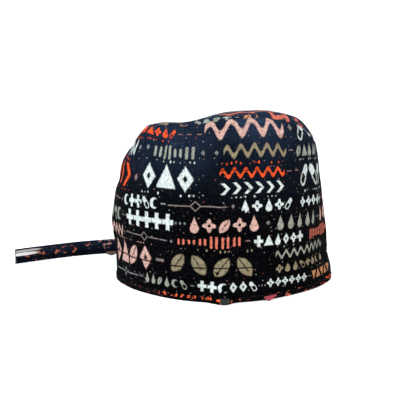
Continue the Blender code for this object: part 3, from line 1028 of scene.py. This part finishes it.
def printedCotton(name, paint, change, shift, inkShare=1.0, wear=0.30, broken=0.0, patches=150.0):
    # change is what the paint does to the ink: how dark it gets, or how much coral it takes on
    material, tree, shader, place = newCotton(name, clothLook["roughness"])
    uv = Channel(addNode(tree, "ShaderNodeUVMap", {"uv_map": "cloth"}).outputs[0])
    figures = useGroup(tree, figureRows, Cloth=uv, Shift=shift, Wear=wear, Broken=broken, Patches=patches)
    weave = useGroup(tree, plainWeave, Cloth=uv)
    ground, ink, mask = paint(place, uv, figures["Ink"], figures["Mask"] * inkShare, change)
    wash = noiseTexture(uv, clothLook["washScale"], 3.0).ramp(0.30, 0.70, *clothLook["washRange"])
    ground = shaded(ground, wash * weave["Shade"] ** clothLook["groundGrain"])
    lint = noiseTexture(uv, clothLook["lintScale"], 1.0).ramp(0.60, 0.74, 0.0, clothLook["lintShare"])
    ground = mixColour(lint, ground, clothLook["lint"])
    link(mixColour(mask, ground, shaded(ink, weave["Shade"])), shader["Base Color"])
    link(mask.ramp(0.0, 1.0, clothLook["roughness"], clothLook["inkRoughness"]), shader["Roughness"])
    crumple = bump(noiseTexture(uv, clothLook["crumpleScale"], 3.0, 0.55), *clothLook["crumpleBump"])
    link(bump(weave["Height"], *clothLook["weaveBump"], crumple), shader["Normal"])
    return material


def plainCotton(name, colour):
    material, tree, shader, place = newCotton(name, 0.9, 0.08)
    shade = noiseTexture(place, 120.0, 4.0).ramp(0.3, 0.7, 0.75, 1.3)
    link(shaded((*colour, 1.0), shade), shader["Base Color"])
    link(bump(noiseTexture(place, 1500.0), 0.35, 0.0003), shader["Normal"])
    return material


wallShift = (0.012, 0.0012, 0.0)
bandCotton = printedCotton("bandCotton", wallPaint, 1.0, wallShift)
crownCotton = printedCotton("crownCotton", wallPaint, 1.0, (0.031, 0.057, 0.0))
tieCotton = printedCotton(
    "tieCotton", tiePaint, 0.65, (0.020, 0.0735, 0.0), inkShare=0.7, wear=0.5, broken=0.74, patches=260.0
)
insideCotton = printedCotton("insideCotton", wallPaint, 0.6, wallShift, inkShare=0.16, wear=0.6, broken=0.3)
hemCotton = printedCotton(
    "hemCotton", hemPaint, 0.8, (0.012, 0.0380, 0.0), inkShare=0.6, wear=0.6, broken=0.92, patches=120.0
)
threadDark = plainCotton("threadDark", (0.0050, 0.0055, 0.0080))
print("materials ready")


# Band

def bandRises(turn):
    # rows of the band, closer together at the pressed lines and beside the seam
    low = (cloth["creaseHeight"] - bandLowest) / (seamHeight(turn) - bandLowest)
    upper, width = cloth["upperCreaseRise"], cloth["creaseHalfWidth"] / cap["seamHeight"]
    stops = [0, low - width, low + width, upper - width, upper + width, cloth["rowsBySeam"], 1]
    ones = np.ones_like(turn)
    rows = []
    for start, end, count in zip(stops, stops[1:], cloth["bandRows"]):
        rows += [(start + (end - start) * k / count) * ones for k in range(count)]
    return np.array(rows + [ones]), low


def makeBand():
    rises, lowCrease = bandRises(turns)
    outer = bandPlain(turns, rises) - middle
    halfWay = outer[len(rises) // 2]
    acrossRow = lengthsAlong(np.concatenate([halfWay, halfWay[:1]]))
    up = lengthsAlong(outer)
    across = np.repeat(acrossRow[None, :-1], len(rises), 0)
    fromSeam = up[-1][None] - up
    push = foldDepth(fineFolds, rises, turns) + ripples(across, up, cloth["bandSeed"], fromSeam)
    push += seamSink(across, fromSeam)
    tall, width, depth = seamHeight(turns) - bandLowest, cloth["creaseHalfWidth"], cloth["creaseDepth"]
    fromCrease, fromUpper = (rises - lowCrease) * tall, (rises - cloth["upperCreaseRise"]) * tall
    push -= depth * bell(fromCrease, width * cloth["creaseFloor"])
    push += depth * cloth["ridge"] * bell(fromCrease - width * cloth["ridgePlace"], width)
    middleTurn = (cloth["upperCreaseFrom"] + cloth["upperCreaseTo"] + 360) / 2
    halfSpan = (cloth["upperCreaseTo"] + 360 - cloth["upperCreaseFrom"]) / 2
    there = hump(turnBetween(turns, middleTurn), halfSpan) ** 0.5
    push -= there * depth * bell(fromUpper, width * cloth["creaseFloor"])
    push *= np.minimum(1.0, up / cloth["stillByHem"] + cloth["leftAtHem"])
    push += cornerOut(turns) * np.exp(-up / hemCorner["reach"])
    outer = lifted(outer + gridNormals(outer) * push[..., None])
    normals = gridNormals(outer)
    normals[0, :, 2] = 0
    inner = outer - normals * cloth["wall"]
    inner[0, :, 2] = outer[0, :, 2]
    mapAcross = np.repeat(acrossRow[None], len(rises), 0)
    return clothObject("band_cloth", outer, inner, mapAcross, up, [bandCotton, insideCotton]), acrossRow


bandCloth, bandAcross = makeBand()
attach(bandCloth, "root")
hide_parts("band")
print("band ready")


# Crown

def makeCrown():
    rest = np.linspace(*cloth["crownRest"], cloth["crownRows"] - len(cloth["crownFirst"]))
    rows = np.concatenate([cloth["crownFirst"], rest])
    inward = np.repeat(rows[:, None], len(turns), 1)
    outer = crownPlain(turns, inward) - middle
    up = lengthsAlong(outer)
    # the print is mapped as on a flat cut: each point keeps its direction and length from the middle
    top = outer[-1].mean(0)
    fromMiddle = up[-1][None] - up + np.linalg.norm(outer[-1] - top, axis=1)[None]
    level = outer[..., :2] - top[:2]
    reach = fromMiddle / np.linalg.norm(level, axis=-1)
    across, onward = level[..., 0] * reach, level[..., 1] * reach
    seamAcross = np.repeat(bandAcross[None, :-1], len(rows), 0)
    push = ripples(across, onward, cloth["crownSeed"], up)
    push = push * hump(inward, cloth["stillAtMiddle"]) + seamSink(seamAcross, up)
    fromNape = turnBetween(turns, compass["back"])
    uneven, waves = cloth["napeUneven"]
    phase = np.radians(fromNape * 360 / cloth["napeFoldStep"]) + uneven * np.sin(np.radians(turns * waves))
    beside = bell(up - cloth["napeFoldPlace"], cloth["napeFoldReach"])
    beside = beside * np.minimum(1, up / cloth["napeFoldFrom"])
    push += cloth["napeFold"] * np.cos(phase) * hump(fromNape, cloth["napeHalfSpread"]) * beside
    outer = lifted(outer + gridNormals(outer) * push[..., None])
    inner = outer - gridNormals(outer) * cloth["wall"]
    top = outer[-1].mean(0)
    pole = [top, top - np.array([0, 0, cloth["wall"]])]
    mapAcross = np.concatenate([across, across[:, :1]], 1)
    return clothObject("crown_cloth", outer, inner, mapAcross, onward, [crownCotton, insideCotton], pole)


crownCloth = makeCrown()
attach(crownCloth, "root")
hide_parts("crown")
print("crown ready")


# Geometry Nodes: a bound edge and a run of stitches, each along a path

def pathObject(name, points, closed):
    curve = bpy.data.curves.new(name, "CURVE")
    curve.dimensions = "3D"
    spline = curve.splines.new("POLY")
    spline.points.add(len(points) - 1)
    places = np.concatenate([points, np.ones((len(points), 1))], 1)
    spline.points.foreach_set("co", places.astype(np.float32).ravel())
    spline.use_cyclic_u = closed
    return addObject(name, curve)


def bakedNodes(name, points, closed, group, values):
    # runs a tree on a path and keeps its result as a plain mesh
    tree, identifiers = group
    path = pathObject(name + "_path", points, closed)
    modifier = path.modifiers.new("nodes", "NODES")
    modifier.node_group = tree
    for label, value in values.items():
        modifier[identifiers[label]] = value
    graph = bpy.context.evaluated_depsgraph_get()
    graph.update()
    mesh = bpy.data.meshes.new_from_object(
        path.evaluated_get(graph), preserve_all_data_layers=True, depsgraph=graph
    )
    mesh.name = name
    path.modifiers.remove(modifier)
    bpy.data.objects.remove(path, do_unlink=True)
    return addObject(name, mesh)


def finishTree(tree, geometry, inside, outside):
    real = addNode(tree, "GeometryNodeRealizeInstances", {}, geometry)
    link(addNode(tree, "GeometryNodeSetMaterial", {}, real, Material=inside["Material"]), outside[0])


def stored(tree, geometry, name, value, kind="FLOAT", domain="POINT"):
    settings = {"data_type": kind, "domain": domain}
    named = {"Geometry": geometry, "Name": name, "Value": value}
    return addNode(tree, "GeometryNodeStoreNamedAttribute", settings, **named)


def measured(tree, geometry, name):
    # the path with each point's length along it
    along = addNode(tree, "GeometryNodeSplineParameter", {}).outputs["Length"]
    return stored(tree, geometry, name, along)


def edgeTree():
    # a folded tape swept along a closed edge, with its own map
    tree, inside, outside, identifiers = newGroup(
        "boundEdge", "Geometry",
        [
            ("Geometry", "Geometry"), ("Height", "Float", 0.005), ("Wall", "Float", 0.0024),
            ("Corner", "Float", 0.0008), ("Material", "Material"),
        ],
        [("Geometry", "Geometry")],
    )
    size = {"Width": inside["Wall"], "Height": inside["Height"]}
    square = addNode(tree, "GeometryNodeCurvePrimitiveQuadrilateral", {}, **size)
    fillet = {"Curve": square, "Count": 3, "Radius": inside["Corner"]}
    rounded = addNode(tree, "GeometryNodeFilletCurve", {"mode": "POLY"}, **fillet)
    path = measured(tree, inside["Geometry"], "along")
    upright = addNode(tree, "GeometryNodeSetCurveNormal", {"mode": "Z_UP"}, Curve=path)
    sweep = {"Curve": upright, "Profile Curve": measured(tree, rounded, "over")}
    swept = addNode(tree, "GeometryNodeCurveToMesh", {}, **sweep)
    place = addNode(tree, "ShaderNodeCombineXYZ", {})
    for number, label in enumerate(("along", "over")):
        read = addNode(tree, "GeometryNodeInputNamedAttribute", {"data_type": "FLOAT"}, Name=label)
        link(read, place.inputs[number])
    mapped = stored(tree, swept, "cloth", place, "FLOAT2", "CORNER")
    finishTree(tree, addNode(tree, "GeometryNodeSetShadeSmooth", {}, mapped), inside, outside)
    return tree, identifiers


def stitchTree():
    # short threads lying one after another along a path
    tree, inside, outside, identifiers = newGroup(
        "stitchRun", "Geometry",
        [
            ("Geometry", "Geometry"), ("Pitch", "Float", 0.0030), ("Length", "Float", 0.0022),
            ("Thickness", "Float", 0.00042), ("Seed", "Int", 3), ("Material", "Material"),
        ],
        [("Geometry", "Geometry")],
    )
    pitch = {"Curve": inside["Geometry"], "Length": inside["Pitch"]}
    spaced = addNode(tree, "GeometryNodeResampleCurve", {"mode": "LENGTH"}, **pitch)
    tangent = addNode(tree, "GeometryNodeInputTangent", {})
    turned = addNode(tree, "FunctionNodeAlignRotationToVector", {"axis": "Z"}, Vector=tangent)
    ball = addNode(tree, "GeometryNodeMeshUVSphere", {}, Segments=6, Rings=5, Radius=0.5)
    smooth = addNode(tree, "GeometryNodeSetShadeSmooth", {}, ball)
    limits = (None, None, 0.90, 1.08)  # the first two inputs are for other kinds of data
    lot = addNode(tree, "FunctionNodeRandomValue", {"data_type": "FLOAT"}, *limits, Seed=inside["Seed"])
    size = combine(inside["Thickness"], inside["Thickness"], Channel(lot.outputs[1]) * inside["Length"])
    instance = {"Points": spaced, "Instance": smooth, "Rotation": turned, "Scale": size}
    finishTree(tree, addNode(tree, "GeometryNodeInstanceOnPoints", {}, **instance), inside, outside)
    return tree, identifiers


stitchRun = stitchTree()
boundEdge = edgeTree()


sewing = {"Pitch": 0.0030, "Length": 0.0021, "Thickness": 0.00040, "Seed": 3, "Material": threadDark}


def stitches(name, points, closed, **changes):
    return bakedNodes(name, points, closed, stitchRun, sewing | changes)


# Hem

hem = {"wall": 0.0025, "corner": 0.0009, "stitchHeight": 0.0040, "stitchProud": 0.00002, "spare": 0.0001}


def makeHem():
    out = outwardAt(turns)
    face = hemLine + out * cornerOut(turns)[:, None]
    line = face + out * (cap["hemProud"] - hem["wall"] / 2)
    line[:, 2] = cap["hemHeight"] / 2 + hem["spare"]
    values = {
        "Height": cap["hemHeight"] - 2 * hem["spare"],
        "Wall": hem["wall"],
        "Corner": hem["corner"],
        "Material": hemCotton,
    }
    run = face + out * (cap["hemProud"] + hem["stitchProud"])
    run[:, 2] = hem["stitchHeight"]
    return bakedNodes("hem_binding", line, True, boundEdge, values), stitches("hem_stitches", run, True)


hemBinding, hemStitches = makeHem()
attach(hemBinding, "root")
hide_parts("hem")
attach(hemStitches, "root")
print("hem ready")


# Ties: each strap's middle line repeats the frame's route; the lower edge is at z

ties = {
    "width": 0.0130,
    "wall": 0.0020,
    "sewnFrom": 172.0,
    "sewnTo": 160.0,
    "aboveHem": 0.0006,
    "sewnSteps": 3,
    "ringStep": 0.0022,
    "sideSteps": 14,
    "slack": 0.42,  # how much thinner the folded strip is in its middle, and the fold line that stands out
    "foldLine": (0.16, 0.46, 0.05),
    "edge": (0.35, 0.08),  # its thickness at the very edge, and where it is whole
    "sway": (0.00012, 90),  # unevenness of the whole strap and of its faces: depth and steps to a metre
    "crease": (0.00016, 160),
    "creaseUp": 3.0,  # and its steps over the width
    "innerMap": 2.3,  # the hidden face's print lies this many widths further up
    "flareAt": 0.0905,  # turned seam end that shows under the left tie, along it
    "flareHalf": 0.0062,
    "flareDrop": 0.0021,
    "flareUp": 0.2,
    "flareRagged": (0.35, 900),
    "stitchUp": 0.0016,
    "stitchIn": 0.93,
    "stitchThickness": 0.00034,
}
tieRoutes = {
    "left": (
        (-0.0550, 0.0925, 0.0050),
        (-0.0800, 0.0840, 0.0045),
        (-0.1040, 0.0785, 0.0038),
        (-0.1270, 0.0765, 0.0022),
        (-0.1520, 0.0670, 0.0008),
        (-0.1680, 0.0555, 0.0005),
        (-0.1796, 0.0450, 0.0005),
    ),
    "right": (
        (0.0520, 0.0950, 0.0046),
        (0.0700, 0.0980, 0.0034),
        (0.0835, 0.1080, 0.0020),
        (0.0870, 0.1230, 0.0010),
        (0.0800, 0.1370, 0.0005),
        (0.0640, 0.1450, 0.0005),
        (0.0450, 0.1470, 0.0005),
        (0.0250, 0.1450, 0.0005),
        (0.0090, 0.1410, 0.0005),
    ),
}


def sewnStretch(side):
    lower, count = cap["hemHeight"] + ties["aboveHem"], ties["sewnSteps"]
    points = []
    for step in range(count + 1):
        turn = np.array([side * (ties["sewnFrom"] + (ties["sewnTo"] - ties["sewnFrom"]) * step / count)])
        covered = (lower + ties["width"] - bandLowest) / (seamHeight(turn)[0] - bandLowest)
        behind = bandPlain(turn, (np.arange(count + 1) * covered / count)[:, None])[:, 0] - middle
        out = outwardAt(turn)[0]
        place = behind[np.argmax(behind @ out)] + out * (cap["gap"] + ties["wall"] / 2)
        points.append((place[0], place[1], lower))
    return points


def tieLine(side):
    points = np.array(sewnStretch(-1 if side == "left" else 1) + list(tieRoutes[side]))
    places = lengthsAlong(points)
    count = max(2, round(places[-1] / ties["ringStep"]))
    return curveThrough(places, points, np.linspace(0, places[-1], count + 1))


def tieSection():
    # a strip folded over lengthwise, two thick edges and a slack middle: how far out each point is, and how
    # high as a share, up the outer face, then down the inner one
    count, (thin, edgeWidth) = ties["sideSteps"], ties["edge"]
    ridge, ridgePlace, ridgeWidth = ties["foldLine"]
    face = []
    for k in range(count + 1):
        share = k / count
        slack = 1 - ties["slack"] * math.sin(math.pi * share) ** 2
        slack += ridge * math.exp(-((share - ridgePlace) / ridgeWidth) ** 2)
        edge = min(1.0, math.sqrt(min(share, 1 - share) / edgeWidth))
        face.append((ties["wall"] / 2 * slack * (thin + (1 - thin) * edge), share))
    return face + [(-out, share) for out, share in face[::-1]]


def smoothLot(place, share, seed):
    return noise.noise(Vector((place, share, seed)))


def makeTie(side, seed):
    name = "tie_" + side
    line, section, tall = tieLine(side), tieSection(), ties["width"]
    seenFace = -1 if side == "left" else 1
    ahead = np.gradient(line, axis=0)
    crossways = np.stack([ahead[:, 1], -ahead[:, 0], np.zeros(len(line))], -1)
    crossways /= np.linalg.norm(crossways, axis=1, keepdims=True)
    lengths = lengthsAlong(line)
    (swayDepth, swaySteps), (creaseDepth, creaseSteps) = ties["sway"], ties["crease"]
    raggedShare, raggedSteps = ties["flareRagged"]
    verts, uvs = [], []
    for length, place, crossway in zip(lengths, line, crossways):
        sway = swayDepth * smoothLot(length * swaySteps, seed, 0.0)
        ragged = 1 + raggedShare * smoothLot(length * raggedSteps, 0.0, seed)
        flare = ties["flareDrop"] * float(hump(length - ties["flareAt"], ties["flareHalf"])) * ragged
        for out, share in section:
            face = math.copysign(1, out)
            faceSeed = seed + (3 if face > 0 else 9)
            crease = creaseDepth * smoothLot(length * creaseSteps, share * ties["creaseUp"], faceSeed)
            onFace = 0.05 < share < 0.95
            x, y, z = place + crossway * (out + face * crease * onFace + sway)
            drop = flare * max(1 - share / ties["flareUp"], 0) if side == "left" else 0.0
            verts.append((x, y, z + tall * share - drop))
            mapUp = share if face == seenFace else ties["innerMap"] - share
            uvs.append((length - lengths[-1], tall * mapUp))
    faces = shutTube(len(line), len(section))
    corners = [uvs[point] for face in faces for point in face]
    strap = cleaned(meshObject(name + "_strap", verts, faces, [tieCotton], corners))
    run = line + crossways * (ties["wall"] / 2 * ties["stitchIn"]) + np.array([0, 0, ties["stitchUp"]])
    threads = stitches(name + "_stitches", run[1:-1], False, Thickness=ties["stitchThickness"], Seed=seed)
    return strap, threads, line + np.array([0, 0, tall / 2]), float(lengths[-1])


for side, seed in (("left", 4), ("right", 9)):
    strap, threads, centre, length = makeTie(side, seed)
    for piece in (strap, threads):
        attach(piece, "root")
    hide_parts("tie_" + side)
    print("tie", side, "ready,", round(length, 4), "m")


# Label tab

label = {
    "turn": 25.0,
    "width": 0.0120,
    "drop": 0.0034,
    "shortSide": 0.0008,
    "tip": 0.25,
    "slant": 0.75,
    "topSlope": 0.0008,
    "wall": 0.0009,
    "floor": 0.0003,
    "flare": 0.0036,  # how far its lower edge lies out from the hem
    "columns": 16,
    # its section: how far out and how high, as shares
    "section": ((0.0, 0), (0.7, 0), (1.0, 0.12), (1.0, 0.88), (0.7, 1), (0.0, 1)),
    "stripe": 0.0019,
    "colours": ((0.215, 0.016, 0.030, 1.0), (0.420, 0.115, 0.140, 1.0)),
}


def labelMaterial():
    material, tree, shader, place = newCotton("labelTape", 0.75, 0.1)
    x, _, z = separate(place)
    slant = sine((x - z) * (2 * math.pi / label["stripe"]))
    link(mixColour(slant.ramp(0.55, 0.9), *label["colours"]), shader["Base Color"])
    link(bump(slant, 0.4, 0.0002), shader["Normal"])
    return material


def makeLabel():
    halfTurn = math.degrees(label["width"] / (cap["hemHalfDepth"] + cap["hemHalfWidth"]))
    near, tip = cap["hemProud"] + cap["gap"], label["tip"]
    verts = []
    for k in range(label["columns"] + 1):
        share = k / label["columns"]
        turn = np.array([label["turn"] + halfTurn * (2 * share - 1)])
        base = bandPlain(turn, np.zeros((1, 1)))[0, 0] - middle
        out = outwardAt(turn)[0]
        narrowing = max(share - tip, 0) / (1 - tip) + max(tip - share, 0) / tip * label["slant"]
        low = label["floor"] + narrowing * (label["drop"] - label["shortSide"])
        tall = label["floor"] + label["drop"] + label["topSlope"] * (share - 1) - low
        for reach, height in label["section"]:
            flare = label["flare"] * (1 - height) * tall / label["drop"]
            x, y, _ = base + out * (near + label["wall"] * reach + flare)
            verts.append((x, y, low + tall * height))
    faces = shutTube(label["columns"] + 1, len(label["section"]))
    return cleaned(meshObject("label_fold", verts, faces, [labelMaterial()], smooth=False))


labelFold = makeLabel()
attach(labelFold, "root")
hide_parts("label_tab")
print("label ready")


# Floor, light and camera

studio = {
    "eye": (0.0, -0.8, 0.167),
    "lookDown": 7.885,
    "lookLeft": 0.84,
    "focalPixels": 992.0,
    "imageWidth": 416.0,
    "sensor": 36.0,
    "floorReach": 1.5,
    "sweep": 0.8,
    "sweepSteps": 12,
    "wallHeight": 3.0,
    "sides": 64,
    "floorLook": {
        "Base Color": (0.88, 0.88, 0.88, 1.0),
        "Roughness": 0.9,
        "Specular IOR Level": 0.1,
        "Emission Color": (1.0, 1.0, 1.0, 1.0),
        "Emission Strength": 0.16,
    },
    "worldLight": 0.50,
    # place, target, size, power and colour of each lamp
    "lamps": {
        "key": ((0.22, -1.10, 1.00), (0, 0, 0.08), 0.6, 16.0, (1, 1, 1)),
        "sky": ((-1.1, -0.05, 1.0), (0, 0, 0.08), 0.6, 21.0, (0.80, 0.91, 1.0)),
        "top": ((-0.1, 0.25, 1.5), (0, 0, 0.05), 0.9, 5.0, (0.90, 0.95, 1.0)),
        "fill": ((1.2, -0.4, 0.6), (0, 0, 0.06), 0.7, 2.0, (1, 1, 1)),
    },
}


def makeStage():
    # a pale round floor that sweeps up into a pale wall on every side
    flat, bend, sides = studio["floorReach"], studio["sweep"], studio["sides"]
    profile = [(flat * k / 3, 0.0) for k in range(1, 4)]
    for k in range(1, studio["sweepSteps"] + 1):
        turn = math.radians(90.0 * k / studio["sweepSteps"])
        profile.append((flat + bend * math.sin(turn), bend - bend * math.cos(turn)))
    profile.append((flat + bend, studio["wallHeight"]))
    verts = [(0.0, 0.0, 0.0)]
    for reach, height in profile:
        for i in range(sides):
            angle = 2 * math.pi * i / sides
            verts.append((reach * math.cos(angle), reach * math.sin(angle), height))
    faces = [(0, 1 + i, 1 + (i + 1) % sides) for i in range(sides)] + tubeFaces(len(profile), sides, 1)
    pale, _, _ = newMaterial("paleFloor", studio["floorLook"])
    cleaned(meshObject("studio_floor", verts, faces, [pale]))


def areaLight(name, place, target, size, power, colour):
    data = bpy.data.lights.new(name, "AREA")
    data.size = size
    data.energy = power
    data.color = colour
    made = addObject(name, data)
    made.location = place
    made.rotation_euler = (Vector(target) - Vector(place)).to_track_quat("-Z", "Y").to_euler()


def makeStudio():
    scene = bpy.context.scene
    makeStage()
    for name, lamp in studio["lamps"].items():
        areaLight(name, *lamp)
    world = scene.world or bpy.data.worlds.new("world")
    scene.world = world
    world.use_nodes = True
    light = world.node_tree.nodes["Background"].inputs
    light[0].default_value = (1.0, 1.0, 1.0, 1.0)
    light[1].default_value = studio["worldLight"]
    scene.view_settings.view_transform = "Standard"
    lens = bpy.data.cameras.new("camera")
    lens.sensor_width = studio["sensor"]
    lens.lens = studio["focalPixels"] / studio["imageWidth"] * studio["sensor"]
    lens.dof.use_dof = False
    eye = addObject("camera", lens)
    eye.location = studio["eye"]
    eye.rotation_euler = (math.radians(90 - studio["lookDown"]), 0, math.radians(studio["lookLeft"]))
    scene.camera = eye


makeStudio()
print("studio ready")
